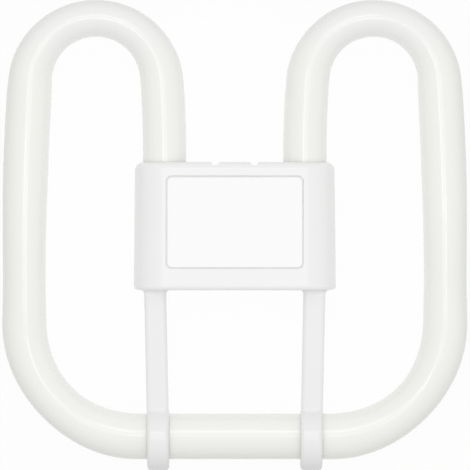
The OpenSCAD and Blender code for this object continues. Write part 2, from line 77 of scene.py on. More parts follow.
class Wire:
    """A shader socket that Python's operators can work on, each adding one Math node."""

    def __init__(self, sheet: "Sheet", socket: bpy.types.NodeSocket) -> None:
        """Wraps an output socket of a sheet's node tree."""
        self.sheet = sheet
        self.socket = socket

    def _math(self, operation: str, *values: Any) -> "Wire":
        """Adds a Math node.

        Args:
            operation: The node's operation.
            values: Its inputs, numbers or wires.

        Returns:
            The node's result.
        """
        node = self.sheet.node(Node.MATH, {"operation": operation}, dict(enumerate(values)))
        return Wire(self.sheet, node.outputs[0])

    def __add__(self, other: Any) -> "Wire":
        """self + other"""
        return self._math("ADD", self, other)

    def __radd__(self, other: Any) -> "Wire":
        """other + self"""
        return self._math("ADD", other, self)

    def __sub__(self, other: Any) -> "Wire":
        """self - other"""
        return self._math("SUBTRACT", self, other)

    def __rsub__(self, other: Any) -> "Wire":
        """other - self"""
        return self._math("SUBTRACT", other, self)

    def __mul__(self, other: Any) -> "Wire":
        """self * other"""
        return self._math("MULTIPLY", self, other)

    def __rmul__(self, other: Any) -> "Wire":
        """other * self"""
        return self._math("MULTIPLY", other, self)

    def __pow__(self, other: Any) -> "Wire":
        """self ** other"""
        return self._math("POWER", self, other)

    def at_most(self, other: Any) -> "Wire":
        """The smaller of self and other."""
        return self._math("MINIMUM", self, other)

    def at_least(self, other: Any) -> "Wire":
        """The larger of self and other."""
        return self._math("MAXIMUM", self, other)

    def sine(self) -> "Wire":
        """The sine of self, in radians."""
        return self._math("SINE", self)


class Sheet:
    """A node tree that is filled by method calls: a material's or the world's."""

    def __init__(self, tree: bpy.types.NodeTree) -> None:
        """Empties the tree, ready to be filled."""
        self.tree = tree
        tree.nodes.clear()

    def node(
        self, kind: Node, settings: dict[str, Any] | None = None, sockets: dict[Any, Any] | None = None
    ) -> bpy.types.Node:
        """Adds any node.

        Args:
            kind: The node's type.
            settings: Its properties, such as an operation, which are set first.
            sockets: Its inputs by name or number: a value, a Wire or an output socket.

        Returns:
            The new node.
        """
        made = self.tree.nodes.new(kind.value)
        for name, value in (settings or {}).items():
            setattr(made, name, value)
        for name, value in (sockets or {}).items():
            socket = made.inputs[name]
            if isinstance(value, Wire):
                value = value.socket
            if isinstance(value, bpy.types.NodeSocket):
                self.tree.links.new(value, socket)
            else:
                socket.default_value = value
        return made

    def wire(self, kind: Node, output: str | int, settings: dict[str, Any] | None = None,
             sockets: dict[Any, Any] | None = None) -> Wire:
        """Adds any node and returns one of its outputs.

        Args:
            kind: The node's type.
            output: The output's name or number.
            settings: As for node.
            sockets: As for node.

        Returns:
            That output.
        """
        return Wire(self, self.node(kind, settings, sockets).outputs[output])

    def place(self) -> Wire:
        """The point's object coordinates, in metres."""
        return self.wire(Node.COORDS, "Object")

    def attribute(self, name: str) -> Wire:
        """A number that the mesh carries at its points."""
        return self.wire(Node.ATTRIBUTE, "Fac", {"attribute_name": name})

    def noise(self, at: Wire, scale: float, detail: float, stretch: Factors | None = None) -> Wire:
        """Noise over the surface, about 0.5 on average.

        Args:
            at: The coordinates.
            scale: Cells in a metre.
            detail: Octaves.
            stretch: Factors on the three coordinates first.

        Returns:
            The noise.
        """
        if stretch is not None:
            at = self.wire(Node.MAPPING, 0, {}, {"Vector": at, "Scale": stretch})
        return self.wire(Node.NOISE, 0, {}, {"Vector": at, "Scale": scale, "Detail": detail})

    def blend(self, factor: Any, first: Any, second: Any) -> Wire:
        """A colour between two.

        Args:
            factor: 0 for the first, 1 for the second.
            first: A colour or a wire.
            second: A colour or a wire.

        Returns:
            The mixed colour.
        """
        node = self.node(Node.MIX, {"data_type": "RGBA"})
        for name, value in (("Factor_Float", factor), ("A_Color", first), ("B_Color", second)):
            socket = next(s for s in node.inputs if s.identifier == name)
            if isinstance(value, Wire):
                self.tree.links.new(value.socket, socket)
            else:
                socket.default_value = value if isinstance(value, (int, float)) else (*value, 1.0)
        return Wire(self, next(s for s in node.outputs if s.identifier == "Result_Color"))

    def bump(self, height: Wire, depth: float, under: Wire | None = None) -> Wire:
        """A normal from a height pattern.

        Args:
            height: The pattern, about 0 to 1.
            depth: Its depth in metres.
            under: A normal that it is added to.

        Returns:
            The normal.
        """
        sockets: dict[Any, Any] = {"Height": height, "Distance": depth}
        if under is not None:
            sockets["Normal"] = under
        return self.wire(Node.BUMP, 0, {}, sockets)


def shaded(colour: Colour, factor: float) -> Colour:
    """A colour times a factor."""
    return (colour[0] * factor, colour[1] * factor, colour[2] * factor)


@dataclass(frozen=True)
class Finish:
    """What each finish has: a name, a colour and how it is put on a piece.

    In every finish a field that ends in _per_m is the number of a pattern's cells in a metre,
    one that ends in _shade multiplies the colour, and roughness_gain is how much the roughness
    changes from where the pattern is 0 to where it is 1.
    """

    name: str
    colour: Colour

    def dress(self, piece: bpy.types.Object) -> None:
        """Gives a piece this finish alone.

        Args:
            piece: The mesh object.
        """
        material = bpy.data.materials.get(self.name)
        if material is None:
            material = bpy.data.materials.new(self.name)
            material.use_nodes = True
            sheet = Sheet(material.node_tree)
            shader = self.shader(sheet)
            sheet.node(Node.OUTPUT, {}, {"Surface": shader.outputs[0]})
        if piece.material_slots:
            for slot in piece.material_slots:
                slot.link = "OBJECT"
                slot.material = material
        else:
            piece.data.materials.append(material)

    def shader(self, sheet: Sheet) -> bpy.types.Node:
        """Fills the sheet and returns its Principled shader."""
        raise NotImplementedError

    def mottled(self, sheet: Sheet, at: Wire, scale: float, amount: float) -> Wire:
        """The colour, a little darker and lighter in soft patches.

        Args:
            sheet: The sheet.
            at: The coordinates.
            scale: Patches in a metre.
            amount: How much darker the darkest patch is.

        Returns:
            The colour.
        """
        patches = sheet.noise(at, scale, detail=3.0)
        return sheet.blend(patches, shaded(self.colour, 1 - amount), shaded(self.colour, 1 + amount))


@dataclass(frozen=True)
class CoatedGlass(Finish):
    """Clear glass over a white powder: a matt white base under a hard gloss coat.

    The powder is a little cloudy, thinner where the glass was drawn in the bends, and stops
    before the sealed ends, which are bare.
    """

    name: str = "coated glass"
    colour: Colour = (0.878, 0.885, 0.842)
    thin_colour: Colour = (0.862, 0.862, 0.853)
    bare_colour: Colour = (0.50, 0.53, 0.52)
    roughness: float = 0.5
    roughness_gain: float = -0.1
    gloss: float = 0.17
    clouds_per_m: float = 60.0
    cloudiness: float = 0.012
    grains_per_m: float = 2600.0
    grain_amount: float = 0.05
    grain_shade: float = 0.93
    waves_per_m: float = 45.0
    wave_height: float = 0.12 * MM

    def shader(self, sheet: Sheet) -> bpy.types.Node:
        """Builds the finish's nodes.

        Args:
            sheet: The material's empty sheet.

        Returns:
            The Principled shader.
        """
        at = sheet.place()
        bare = sheet.attribute("bare")
        powder = self.mottled(sheet, at, self.clouds_per_m, self.cloudiness)
        powder = sheet.blend(sheet.attribute("drawn"), powder, self.thin_colour)
        grain = sheet.noise(at, self.grains_per_m, detail=1.0) * self.grain_amount
        colour = sheet.blend(grain, powder, shaded(self.colour, self.grain_shade))
        waves = sheet.noise(at, self.waves_per_m, detail=1.0)
        return sheet.node(Node.BSDF, {}, {
            "Base Color": sheet.blend(bare, colour, self.bare_colour),
            "Roughness": self.roughness + self.roughness_gain * bare,
            "Normal": sheet.bump(waves, self.wave_height), "IOR": 1.5, "Specular IOR Level": 0.2,
            "Coat Weight": 1.0, "Coat Roughness": self.gloss, "Coat IOR": 1.5,
        })


@dataclass(frozen=True)
class MouldedPlastic(Finish):
    """White injection-moulded plastic with a fine spark-eroded grain and faint flow clouds.

    The arms below the cap carry painted shade: their colour is a shade darker.
    """

    name: str = "moulded plastic"
    colour: Colour = (0.862, 0.862, 0.861)
    roughness: float = 0.24
    roughness_gain: float = 0.08
    clouds_per_m: float = 38.0
    cloudiness: float = 0.008
    grains_per_m: float = 3600.0
    grain_depth: float = 0.004 * MM
    sinks_per_m: float = 70.0
    sink_depth: float = 0.06 * MM
    # painted shade on the arms: where it starts, how it fades in and how dark it is
    arms_below: float = -17.9 * MM
    arm_fade: float = 0.5 * MM
    arm_painted_shade: float = 0.966

    def shader(self, sheet: Sheet) -> bpy.types.Node:
        """Builds the finish's nodes.

        Args:
            sheet: The material's empty sheet.

        Returns:
            The Principled shader.
        """
        at = sheet.place()
        y = sheet.wire(Node.SPLIT, "Y", {}, {0: at})
        # mask of the painted shade on the arms, 1 below arms_below
        painted_shade_on_arms = ((self.arms_below - y) * (1 / self.arm_fade)).at_least(0.0).at_most(1.0)
        clouded = self.mottled(sheet, at, self.clouds_per_m, self.cloudiness)
        grain = sheet.noise(at, self.grains_per_m, detail=2.0)
        sinks = sheet.noise(at, self.sinks_per_m, detail=1.0)
        return sheet.node(Node.BSDF, {}, {
            # the arms get painted shade: their colour is multiplied down
            "Base Color": sheet.blend(painted_shade_on_arms, clouded, shaded(self.colour, self.arm_painted_shade)),
            "Roughness": self.roughness + self.roughness_gain * (grain - 0.5),
            "Normal": sheet.bump(grain, self.grain_depth, sheet.bump(sinks, self.sink_depth)), "IOR": 1.5,
        })


@dataclass(frozen=True)
class LabelFilm(Finish):
    """Bare white label film: satin, with a very fine paper tooth."""

    name: str = "label film"
    colour: Colour = (0.945, 0.945, 0.945)
    roughness: float = 0.5
    roughness_gain: float = 0.15
    fibres_per_m: float = 1900.0
    fibre_stretch: Factors = (1.0, 0.35, 1.0)
    dark_shade: float = 0.985
    light_shade: float = 1.01
    tooth_depth: float = 0.008 * MM

    def shader(self, sheet: Sheet) -> bpy.types.Node:
        """Builds the finish's nodes.

        Args:
            sheet: The material's empty sheet.

        Returns:
            The Principled shader.
        """
        fibres = sheet.noise(sheet.place(), self.fibres_per_m, 3.0, self.fibre_stretch)
        dark, light = shaded(self.colour, self.dark_shade), shaded(self.colour, self.light_shade)
        return sheet.node(Node.BSDF, {}, {
            "Base Color": sheet.blend(fibres, dark, light),
            "Roughness": self.roughness + self.roughness_gain * (fibres - 0.5),
            "Normal": sheet.bump(fibres, self.tooth_depth), "IOR": 1.45,
        })


@dataclass(frozen=True)
class PlatedBrass(Finish):
    """Dull plated brass with turning marks round the pin and darker spots."""

    name: str = "plated brass"
    colour: Colour = (0.74, 0.66, 0.48)
    roughness: float = 0.26
    roughness_gain: float = 0.2
    turns_per_m: float = 700.0
    turn_stretch: Factors = (0.05, 0.05, 8.0)
    turn_depth: float = 0.012 * MM
    spots_per_m: float = 900.0
    spot_shade: float = 0.55

    def shader(self, sheet: Sheet) -> bpy.types.Node:
        """Builds the finish's nodes.

        Args:
            sheet: The material's empty sheet.

        Returns:
            The Principled shader.
        """
        at = sheet.place()
        turned = sheet.noise(at, self.turns_per_m, 2.0, self.turn_stretch)
        spots = (sheet.noise(at, self.spots_per_m, detail=4.0) - 0.5).at_least(0.0) * 2.0
        return sheet.node(Node.BSDF, {}, {
            "Base Color": sheet.blend(spots, self.colour, shaded(self.colour, self.spot_shade)),
            "Metallic": 1.0, "Roughness": self.roughness + self.roughness_gain * turned,
            "Normal": sheet.bump(turned, self.turn_depth),
        })


@dataclass(frozen=True)
class DrawnWire(Finish):
    """Bare drawn wire with fine lengthwise scratches."""

    name: str = "drawn wire"
    colour: Colour = (0.60, 0.60, 0.61)
    roughness: float = 0.25
    roughness_gain: float = 0.3
    scratches_per_m: float = 2400.0
    scratch_stretch: Factors = (1.0, 0.2, 1.0)
    scratch_depth: float = 0.006 * MM
    dark_shade: float = 0.8
    light_shade: float = 1.15

    def shader(self, sheet: Sheet) -> bpy.types.Node:
        """Builds the finish's nodes.

        Args:
            sheet: The material's empty sheet.

        Returns:
            The Principled shader.
        """
        scratches = sheet.noise(sheet.place(), self.scratches_per_m, 3.0, self.scratch_stretch)
        dark, light = shaded(self.colour, self.dark_shade), shaded(self.colour, self.light_shade)
        return sheet.node(Node.BSDF, {}, {
            "Base Color": sheet.blend(scratches, dark, light), "Metallic": 1.0,
            "Roughness": self.roughness + self.roughness_gain * scratches,
            "Normal": sheet.bump(scratches, self.scratch_depth),
        })


@dataclass(frozen=True)
class BottleGlass(Finish):
    """Glass of the starter bottle, greyish from the getter mirror at one end."""

    name: str = "bottle glass"
    colour: Colour = (0.80, 0.82, 0.82)
    mirror_colour: Colour = (0.20, 0.21, 0.22)
    mirror_x: float = -10.0 * MM
    mirror_fade: float = 3.125 * MM
    mirror_metal: float = 0.8
    smoke_per_m: float = 500.0
    smoke_spread: float = 0.4
    roughness: float = 0.08
    roughness_gain: float = 0.1

    def shader(self, sheet: Sheet) -> bpy.types.Node:
        """Builds the finish's nodes.

        Args:
            sheet: The material's empty sheet.

        Returns:
            The Principled shader.
        """
        at = sheet.place()
        x = sheet.wire(Node.SPLIT, "X", {}, {0: at})
        mirror = (1.0 - (x - self.mirror_x) * (1 / self.mirror_fade)).at_least(0.0).at_most(1.0)
        wisps = sheet.noise(at, self.smoke_per_m, detail=3.0)
        smoke = mirror * ((1 - self.smoke_spread) + self.smoke_spread * wisps)
        return sheet.node(Node.BSDF, {}, {
            "Base Color": sheet.blend(smoke, self.colour, self.mirror_colour),
            "Metallic": smoke * self.mirror_metal,
            "Roughness": self.roughness + self.roughness_gain * smoke,
            "Transmission Weight": 0.5, "IOR": 1.5,
        })


@dataclass(frozen=True)
class DippedResin(Finish):
    """Brown-orange dipped resin with a slightly lumpy skin."""

    name: str = "dipped resin"
    colour: Colour = (0.55, 0.22, 0.10)
    roughness: float = 0.22
    roughness_gain: float = 0.16
    clouds_per_m: float = 260.0
    cloudiness: float = 0.12
    lumps_per_m: float = 420.0
    lump_height: float = 0.12 * MM

    def shader(self, sheet: Sheet) -> bpy.types.Node:
        """Builds the finish's nodes.

        Args:
            sheet: The material's empty sheet.

        Returns:
            The Principled shader.
        """
        at = sheet.place()
        lumps = sheet.noise(at, self.lumps_per_m, detail=2.0)
        return sheet.node(Node.BSDF, {}, {
            "Base Color": self.mottled(sheet, at, self.clouds_per_m, self.cloudiness),
            "Roughness": self.roughness + self.roughness_gain * lumps,
            "Normal": sheet.bump(lumps, self.lump_height), "Coat Weight": 0.4, "IOR": 1.5,
        })


@dataclass(frozen=True)
class WovenSleeve(Finish):
    """Woven glass sleeving: two sets of threads that cross on the slant round the sleeve."""

    name: str = "woven sleeve"
    colour: Colour = (0.74, 0.71, 0.60)
    pitch: float = 0.55 * MM
    thread_height: float = 0.08 * MM
    # dark_shade here is painted shade in the gaps between the threads
    dark_shade: float = 0.62
    light_shade: float = 1.08
    roughness: float = 0.85
    roughness_gain: float = -0.1

    def shader(self, sheet: Sheet) -> bpy.types.Node:
        """Builds the finish's nodes.

        Args:
            sheet: The material's empty sheet.

        Returns:
            The Principled shader.
        """
        split = sheet.node(Node.SPLIT, {}, {0: sheet.place()})
        x, y, z = (Wire(sheet, split.outputs[i]) for i in range(3))
        turn = 2 * math.pi / self.pitch
        one = (((x + y + z) * turn).sine() + 1.0) * 0.5
        two = (((x - y + z) * turn).sine() + 1.0) * 0.5
        threads = one.at_least(two)
        # painted shade: the gaps between the threads, low in the bump, are coloured darker
        dark, light = shaded(self.colour, self.dark_shade), shaded(self.colour, self.light_shade)
        return sheet.node(Node.BSDF, {}, {
            "Base Color": sheet.blend(threads, dark, light),
            "Roughness": self.roughness + self.roughness_gain * threads,
            "Normal": sheet.bump(threads, self.thread_height), "Sheen Weight": 0.2,
        })


@dataclass(frozen=True)
class DriedCement(Finish):
    """Chalky bonding cement with pores."""

    name: str = "dried cement"
    colour: Colour = (0.77, 0.75, 0.69)
    clouds_per_m: float = 240.0
    cloudiness: float = 0.06
    pores_per_m: float = 900.0
    pore_narrowness: float = 2.4
    pore_depth: float = 0.2 * MM
    # painted shade in the pore pits
    pore_painted_shade: float = 0.55
    roughness: float = 0.92
    roughness_gain: float = -0.1

    def shader(self, sheet: Sheet) -> bpy.types.Node:
        """Builds the finish's nodes.

        Args:
            sheet: The material's empty sheet.

        Returns:
            The Principled shader.
        """
        at = sheet.place()
        pores = sheet.wire(Node.VORONOI, "Distance", {}, {"Vector": at, "Scale": self.pores_per_m})
        # painted shade: the pits that the bump makes are coloured darker
        dark = 1.0 - (pores * self.pore_narrowness).at_most(1.0)
        clouded = self.mottled(sheet, at, self.clouds_per_m, self.cloudiness)
        return sheet.node(Node.BSDF, {}, {
            "Base Color": sheet.blend(dark, clouded, shaded(self.colour, self.pore_painted_shade)),
            "Roughness": self.roughness + self.roughness_gain * dark,
            "Normal": sheet.bump(pores, self.pore_depth),
        })


class Mesh:
    """Makes mesh objects from whole arrays of points."""

    @staticmethod
    def tube(name: str, points: np.ndarray) -> bpy.types.Object:
        """A smooth closed surface over rings of points, with a fan of triangles at each end.

        The face between rings i and i+1 and places j and j+1 joins those four points; its
        turn is such that the normal is (along the rings) x (round the ring). The triangles of
        an end meet at the middle of its ring.

        Args:
            name: The object's name.
            points: Rings by places by 3, in metres.

        Returns:
            The object, at the origin.
        """
        rings, places = points.shape[:2]
        index = np.arange(rings * places).reshape(rings, places)
        following = np.roll(index, -1, axis=1)
        quads = np.stack([index[:-1], index[1:], following[1:], following[:-1]], axis=-1).reshape(-1, 4)
        middles = np.stack([points[0].mean(axis=0), points[-1].mean(axis=0)])
        vertices = np.concatenate([points.reshape(-1, 3), middles])
        middle = np.full(places, rings * places)
        start = np.stack([middle, index[0], following[0]], axis=-1)
        end = np.stack([middle + 1, following[-1], index[-1]], axis=-1)
        faces = quads.tolist() + start.tolist() + end.tolist()
        mesh = bpy.data.meshes.new(name)
        mesh.from_pydata(vertices.tolist(), [], faces)
        mesh.polygons.foreach_set("use_smooth", np.ones(len(faces), bool))
        mesh.update()
        made = bpy.data.objects.new(name, mesh)
        bpy.context.scene.collection.objects.link(made)
        return made

    @staticmethod
    def values(piece: bpy.types.Object, name: str, values: np.ndarray) -> None:
        """Puts one number a point on a piece.

        Args:
            piece: The object.
            name: The attribute's name.
            values: One number a point, in the mesh's order.
        """
        attribute = piece.data.attributes.new(name, "FLOAT", "POINT")
        attribute.data.foreach_set("value", values.astype(np.float32))


def steady_curve(at: np.ndarray, knots: Sequence[tuple[float, float]]) -> np.ndarray:
    """A smooth curve through knots that never swings past them.

    Between two knots it is the cubic with their values and slopes, where a knot's slope is
    the harmonic mean of the slopes on its two sides, or zero where those differ in sign.

    Args:
        at: Where the curve is wanted.
        knots: Pairs of place and value, in order.

    Returns:
        The curve's values.
    """
    place, value = np.array(knots, float).T
    step = np.diff(place)
    rise = np.diff(value) / step
    same = rise[:-1] * rise[1:] > 0
    safe = np.where(same, rise[:-1] + rise[1:], 1.0)
    inner = np.where(same, 2 * rise[:-1] * rise[1:] / safe, 0.0)
    slope = np.concatenate([[0.0], inner, [0.0]])
    cell = np.clip(np.searchsorted(place, at, side="right") - 1, 0, len(step) - 1)
    t = np.clip((at - place[cell]) / step[cell], 0, 1)
    width = step[cell]
    return (
        (2 * t**3 - 3 * t**2 + 1) * value[cell]
        + (t**3 - 2 * t**2 + t) * width * slope[cell]
        + (3 * t**2 - 2 * t**3) * value[cell + 1]
        + (t**3 - t**2) * width * slope[cell + 1]
    )


@dataclass
class DischargeTube:
    """The bent glass tube, in mm: sizes as they are seen, with the glass drawn thin in its bends.

    The radius of the glass in the plane of the lamp holds until a little before each bend and
    eases into it. leg_profile gives it at distances past the corner, and lobe_profile at
    shares of the lobe's length. The powder is whole where the radius is full_coat_r or more,
    and thinnest at thin_coat_r.
    """

    run_y: float = -59.85
    widest_x: float = 62.5
    leg_x: float = 20.85
    plane_z: float = 18.2
    corner_r: float = 34.0
    top_y: float = 64.3
    shoulder_out_r: float = 796.0
    shoulder_out_deg: float = 3.75
    shoulder_in_r: float = 250.0
    shoulder_in_deg: float = 4.7
    end_y: float = -0.45
    pinch_l: float = 9.0
    pinch_half_w: float = 6.0
    pinch_half_t: float = 1.8
    pinch_exponent: float = 5.0
    press_lead: float = 3.0
    press_l: float = 6.5
    rim_l: float = 0.8
    rim_share: float = 0.3
    hold: float = 6.0
    corner_ease: float = 4.0
    run_r: float = 6.78
    corner_start_r: float = 6.83
    corner_mid_r: float = 6.25
    corner_end_r: float = 6.62
    leg_profile: Profile = ((13.7, 6.35), (24.3, 6.46), (47.0, 6.72))
    leg_top_r: float = 6.70
    lobe_profile: Profile = (
        (0.02, 6.45), (0.17, 6.0), (0.34, 5.62), (0.5, 5.50), (0.66, 5.60), (0.83, 5.95), (0.98, 6.40),
    )
    inner_leg_r: float = 6.48
    depth_r: float = 6.55
    depth_share: float = 0.35
    full_coat_r: float = 6.6
    thin_coat_r: float = 5.5
    tip_r: float = 1.4
    tip_l: float = 3.4
    tip_sink: float = 0.8
    tip_cut: float = 0.999
    tip_rings: int = 18
    tip_sides: int = 24
    pitch: float = 0.9
    least_steps: int = 3
    sides: int = 64

    def bends(self) -> list[tuple[float, float]]:
        """Length and turn of each stretch of the right half, from the middle of the bottom run.

        The lobe's radius follows from the two gentle shoulders and the distance of the legs.

        Returns:
            Pairs of length in mm and turn in radians.
        """
        out, inn = math.radians(self.shoulder_out_deg), math.radians(self.shoulder_in_deg)
        out_r, in_r = self.shoulder_out_r, self.shoulder_in_r
        spread = self.widest_x - self.leg_x - out_r * (1 - math.cos(out)) - in_r * (1 - math.cos(inn))
        lobe_r = spread / (math.cos(out) + math.cos(inn))
        lobe_y = self.top_y - lobe_r
        corner_y = self.run_y + self.corner_r
        outer_low = lobe_y - (out_r - lobe_r) * math.sin(out)
        inner_low = lobe_y - (in_r - lobe_r) * math.sin(inn)
        return [
            (self.widest_x - self.corner_r, 0.0),
            (self.corner_r * math.pi / 2, math.pi / 2),
            (outer_low - corner_y, 0.0),
            (out_r * out, out),
            (lobe_r * (math.pi - out - inn), math.pi - out - inn),
            (in_r * inn, inn),
            (inner_low - self.end_y, 0.0),
            (self.pinch_l, 0.0),
        ]

    def half_line(self) -> tuple[np.ndarray, np.ndarray, np.ndarray]:
        """The right half's centre line.

        Each stretch is a straight, or an arc about the point that lies its length over its
        turn to the left of its start.

        Returns:
            Points (x, y), headings in radians, and distances along the line.
        """
        start, heading, gone = np.array([0.0, self.run_y]), 0.0, 0.0
        points, headings, distances = [start[None]], [np.zeros(1)], [np.zeros(1)]
        for length, turn in self.bends():
            t = np.arange(1, max(self.least_steps, math.ceil(length / self.pitch)) + 1)
            t = t / t[-1]
            along = heading + turn * t
            if turn:
                r = length / turn
                centre = start + r * np.array([-math.sin(heading), math.cos(heading)])
                line = centre + r * np.stack([np.sin(along), -np.cos(along)], axis=-1)
            else:
                line = start + length * t[:, None] * np.array([math.cos(heading), math.sin(heading)])
            points.append(line)
            headings.append(along)
            distances.append(gone + length * t)
            start, heading, gone = line[-1], heading + turn, gone + length
        return np.concatenate(points), np.concatenate(headings), np.concatenate(distances)

    def knots(self) -> list[tuple[float, float]]:
        """Radius of the glass, in the plane of the lamp, at places along the right half.

        Returns:
            Pairs of distance along the line and radius.
        """
        ends = np.cumsum([length for length, _ in self.bends()])
        run, corner, _, shoulder, lobe, neck, _, tip = ends
        return [
            (0.0, self.run_r),
            (run - self.hold, self.run_r),
            (run + self.corner_ease, self.corner_start_r),
            ((run + corner) / 2, self.corner_mid_r),
            (corner - self.corner_ease, self.corner_end_r),
            *((corner + past, radius) for past, radius in self.leg_profile),
            (shoulder - self.hold, self.leg_top_r),
            *((shoulder + share * (lobe - shoulder), radius) for share, radius in self.lobe_profile),
            (neck - self.hold, self.inner_leg_r),
            (tip, self.inner_leg_r),
        ]

    def build(self) -> bpy.types.Object:
        """The tube as one closed surface from one sealed end to the other.

        At each place s along the line the section is a rounded shape with half-width a in
        the plane of the lamp and half-depth c across it: point(s, v) = line(s) + a cos(v)
        |cos(v)|^(2/n - 1) normal + c sin(v) |sin(v)|^(2/n - 1) up. The exponent n is 2 along
        the tube, a true oval, and rises over the pinch, where the glass is pressed flat. The
        rim of each end is rounded off by a quarter of an ellipse.

        Returns:
            The mesh object.
        """
        line, heading, gone = self.half_line()
        radius = steady_curve(gone, self.knots())
        tail = gone[-1] - self.pinch_l
        press = np.clip((gone - tail + self.press_lead) / self.press_l, 0, 1)
        press = press * press * (3 - 2 * press)
        deep = np.minimum(radius, self.depth_r) * self.depth_share + self.depth_r * (1 - self.depth_share)
        wide = radius + (self.pinch_half_w - radius) * press
        deep = deep + (self.pinch_half_t - deep) * press
        close = np.clip((gone[-1] - gone) / self.rim_l, 0, 1)
        close = 1 - self.rim_share * (1 - np.sqrt(1 - (1 - close) ** 2))
        exponent = 2 + (self.pinch_exponent - 2) * press
        drawn = np.clip((self.full_coat_r - radius) / (self.full_coat_r - self.thin_coat_r), 0, 1)
        drawn = drawn * (1 - press)

        def both(right: np.ndarray, sign: float = 1.0) -> np.ndarray:
            """The right half's values with the mirrored left half put before them."""
            return np.concatenate([sign * right[:0:-1], right])

        x, y = both(line[:, 0], -1.0), both(line[:, 1])
        turn = both(heading, -1.0)
        a, c, n = both(wide * close), both(deep * close), both(exponent)
        v = np.linspace(0, 2 * np.pi, self.sides, endpoint=False)
        power = 2 / n[:, None]
        side = np.sign(np.cos(v)) * np.abs(np.cos(v)) ** power * a[:, None]
        up = np.sign(np.sin(v)) * np.abs(np.sin(v)) ** power * c[:, None]
        points = np.stack([
            x[:, None] - np.sin(turn)[:, None] * side,
            y[:, None] + np.cos(turn)[:, None] * side,
            self.plane_z + up,
        ], axis=-1) * MM
        piece = Mesh.tube("bent_glass_tube", points)
        pad = np.zeros(2)
        rings = np.ones((1, self.sides))
        Mesh.values(piece, "drawn", np.concatenate([(both(drawn)[:, None] * rings).ravel(), pad]))
        Mesh.values(piece, "bare", np.concatenate([(both(press)[:, None] * rings).ravel(), pad + 1]))
        return piece

    def exhaust_tip(self) -> bpy.types.Object:
        """The sealed-off exhaust stem at the left tube end, a turned shape about a line along Y.

        Its radius falls to zero in a drop: r(t) = tip_r sqrt(1 - t^3).

        Returns:
            The mesh object.
        """
        t = np.linspace(0, self.tip_cut, self.tip_rings)
        r = self.tip_r * np.sqrt(1 - t**3)
        y = self.end_y - self.pinch_l + self.tip_sink - self.tip_l * t
        v = np.linspace(0, 2 * np.pi, self.tip_sides, endpoint=False)
        points = np.stack([
            -self.leg_x + r[:, None] * np.cos(v),
            np.broadcast_to(y[:, None], (len(t), len(v))),
            self.plane_z + r[:, None] * np.sin(v),
        ], axis=-1) * MM
        piece = Mesh.tube("exhaust_tip", points)
        Mesh.values(piece, "bare", np.ones(len(piece.data.vertices)))
        return piece

    def make(self) -> list[bpy.types.Object]:
        """Builds the tube's pieces, dresses them and lets them stand for the CAD tube.

        Returns:
            The pieces.
        """
        glass = CoatedGlass()
        made = [self.build(), self.exhaust_tip()]
        for piece in made:
            glass.dress(piece)
            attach(piece, "root")
            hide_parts("discharge_tube")
        return made


@dataclass
class LabelPanel:
    """The bare label on the cover: a thin film with rounded corners, kept as the CAD has it."""

    node: str = "label_panel"

    def make(self) -> list[bpy.types.Object]:
        """Dresses the panel.

        Returns:
            The panel, alone in a list.
        """
        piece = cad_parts[self.node]
        LabelFilm().dress(piece)
        return [piece]


@dataclass
class CapShell:
    """The two mouldings of the cap, kept as the CAD has them and dressed in plastic."""

    nodes: tuple[str, ...] = ("cap_cover", "cap_body")

    def make(self) -> list[bpy.types.Object]:
        """Dresses the mouldings.

        Returns:
            The mouldings.
        """
        plastic = MouldedPlastic()
        pieces = [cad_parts[name] for name in self.nodes]
        for piece in pieces:
            plastic.dress(piece)
        return pieces


@dataclass
class StartingGear:
    """Contacts, starter, capacitor, leads, sleeves and cement, as the CAD has them."""

    def finishes(self) -> dict[str, Finish]:
        """The finish of each node.

        Returns:
            Finishes by the node's name.
        """
        wire, sleeve, cement, brass = DrawnWire(), WovenSleeve(), DriedCement(), PlatedBrass()
        found: dict[str, Finish] = {"starter_bottle": BottleGlass(), "capacitor": DippedResin()}
        for side in ("left", "right"):
            found[f"contact_pin_{side}"] = brass
            found[f"pin_lead_{side}"] = wire
            found[f"starter_lead_{side}"] = wire
            found[f"lead_sleeve_{side}"] = sleeve
            found[f"tube_cement_{side}"] = cement
        return found

    def make(self) -> list[bpy.types.Object]:
        """Dresses the nodes.

        Returns:
            The nodes' objects.
        """
        pieces = []
        for name, finish in self.finishes().items():
            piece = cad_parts[name]
            finish.dress(piece)
            pieces.append(piece)
        return pieces


@dataclass(frozen=True)
class Lamp:
    """A rectangular softbox: where it is and its sides, in metres, and how bright its face is."""

    name: str
    place: tuple[float, float, float]
    size: tuple[float, float]
    radiance: float

    def hang(self) -> None:
        """Hangs the lamp so that it faces the origin, with its first side level.

        Its power is the radiance times pi times the area.
        """
        data = bpy.data.lights.new(self.name, "AREA")
        data.shape = "RECTANGLE"
        data.size, data.size_y = self.size
        data.energy = self.radiance * math.pi * self.size[0] * self.size[1]
        lamp = bpy.data.objects.new(self.name, data)
        lamp.location = self.place
        z = np.array(self.place) / np.linalg.norm(self.place)
        x = np.cross([0.0, 1.0, 0.0], z)
        x = x / np.linalg.norm(x)
        y = np.cross(z, x)
        lamp.rotation_euler = (math.atan2(y[2], z[2]), math.asin(-x[2]), math.atan2(x[1], x[0]))
        lamp.visible_camera = False
        bpy.context.scene.collection.objects.link(lamp)


